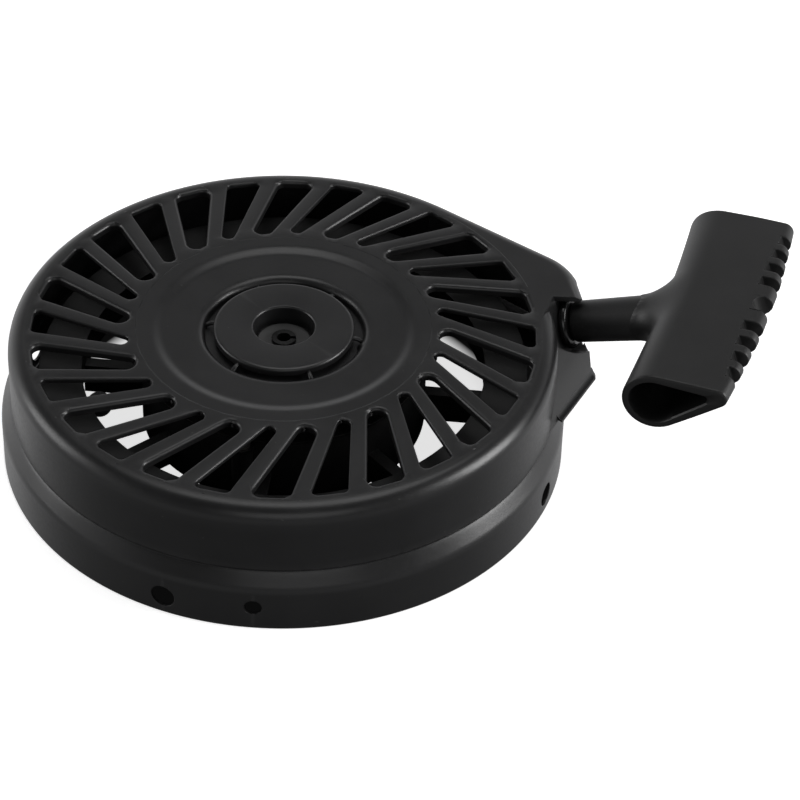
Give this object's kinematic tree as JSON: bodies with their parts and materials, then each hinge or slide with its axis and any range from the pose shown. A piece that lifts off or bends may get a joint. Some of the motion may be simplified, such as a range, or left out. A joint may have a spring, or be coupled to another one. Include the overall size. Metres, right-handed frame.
{
  "type": "recoil starter",
  "caption": "Round stamped-steel recoil starter with swirled vent slots, a spring-loaded rope pulley with starter dogs, an angled rope outlet and a T-shaped pull handle.",
  "frame": {"origin": "on the crank axis, in the plane of the housing's rim", "axes": "+Z along the crank axis, away from the engine; +X towards the side where the handle is"},
  "size_m": [0.2637, 0.187, 0.0579],
  "materials": {
    "housing_paint": "satin black paint on stamped steel",
    "hub_paint": "satin black paint, turned face",
    "eyelet_steel": "semi-gloss black coated steel",
    "spring_steel": "blued spring steel strip, oiled",
    "pin_steel": "rolled steel, dull",
    "washer_plastic": "moulded nylon",
    "wire_steel": "drawn spring wire",
    "rope_cord": "braided nylon cord, black",
    "pulley_plastic": "glass filled nylon, moulded",
    "cover_steel": "phosphated sheet steel",
    "screw_zinc": "zinc plated",
    "retainer_zinc": "zinc plated pressed steel",
    "dog_steel": "sintered steel, dull",
    "grip_nylon": "matte black moulded nylon, fine grain"
  },
  "bodies": {
    "housing": {"housing": "housing_paint", "centre_hub": "hub_paint", "rope_eyelet": "eyelet_steel", "rewind_spring": "spring_steel", "centre_pin": "pin_steel", "upper_washer": "washer_plastic", "lower_washer": "washer_plastic", "brake_spring": "wire_steel", "rope_lead": "rope_cord"},
    "pulley": {"pulley": "pulley_plastic", "spring_cover": "cover_steel", "cover_screws": "screw_zinc", "rope_coil": "rope_cord", "pulley_knot": "rope_cord", "dog_spring_a": "wire_steel", "dog_spring_b": "wire_steel"},
    "retainer": {"retainer": "retainer_zinc"},
    "dog_a": {"starter_dog_a": "dog_steel"},
    "dog_b": {"starter_dog_b": "dog_steel"},
    "handle": {"grip": "grip_nylon", "grip_rope": "rope_cord", "rope_retainer": "pin_steel", "grip_knot": "rope_cord"}
  },
  "joints": [
    {"name": "pulley_spin", "type": "hinge", "parent": "housing", "child": "pulley", "pos_m": [0, 0, 0.016], "axis": [0, 0, -1], "range_deg": [0, 1080], "stiffness_Nm_per_rad": 0.02, "springref_deg": -859.44},
    {"name": "retainer_turn", "type": "hinge", "parent": "pulley", "child": "retainer", "pos_m": [0, 0, 0.0041], "axis": [0, 0, 1], "range_deg": [0, 20], "stiffness_Nm_per_rad": 0.02, "springref_deg": -57.3},
    {"name": "dog_a_swing", "type": "hinge", "parent": "pulley", "child": "dog_a", "pos_m": [0, 0.021, 0.007], "axis": [0, 0, 1], "range_deg": [0, 28]},
    {"name": "dog_b_swing", "type": "hinge", "parent": "pulley", "child": "dog_b", "pos_m": [0, -0.021, 0.007], "axis": [0, 0, 1], "range_deg": [0, 28]},
    {"name": "handle_pull", "type": "slide", "parent": "housing", "child": "handle", "axis": [0.9018, -0.2843, 0.3256], "range_m": [0, 1.405]}
  ],
  "couplings": [
    {"joint": "handle_pull", "follows": "pulley_spin", "m_per_rad": 0.0745},
    {"joint": "dog_a_swing", "follows": "retainer_turn", "ratio": 1.4},
    {"joint": "dog_b_swing", "follows": "retainer_turn", "ratio": 1.4}
  ]
}
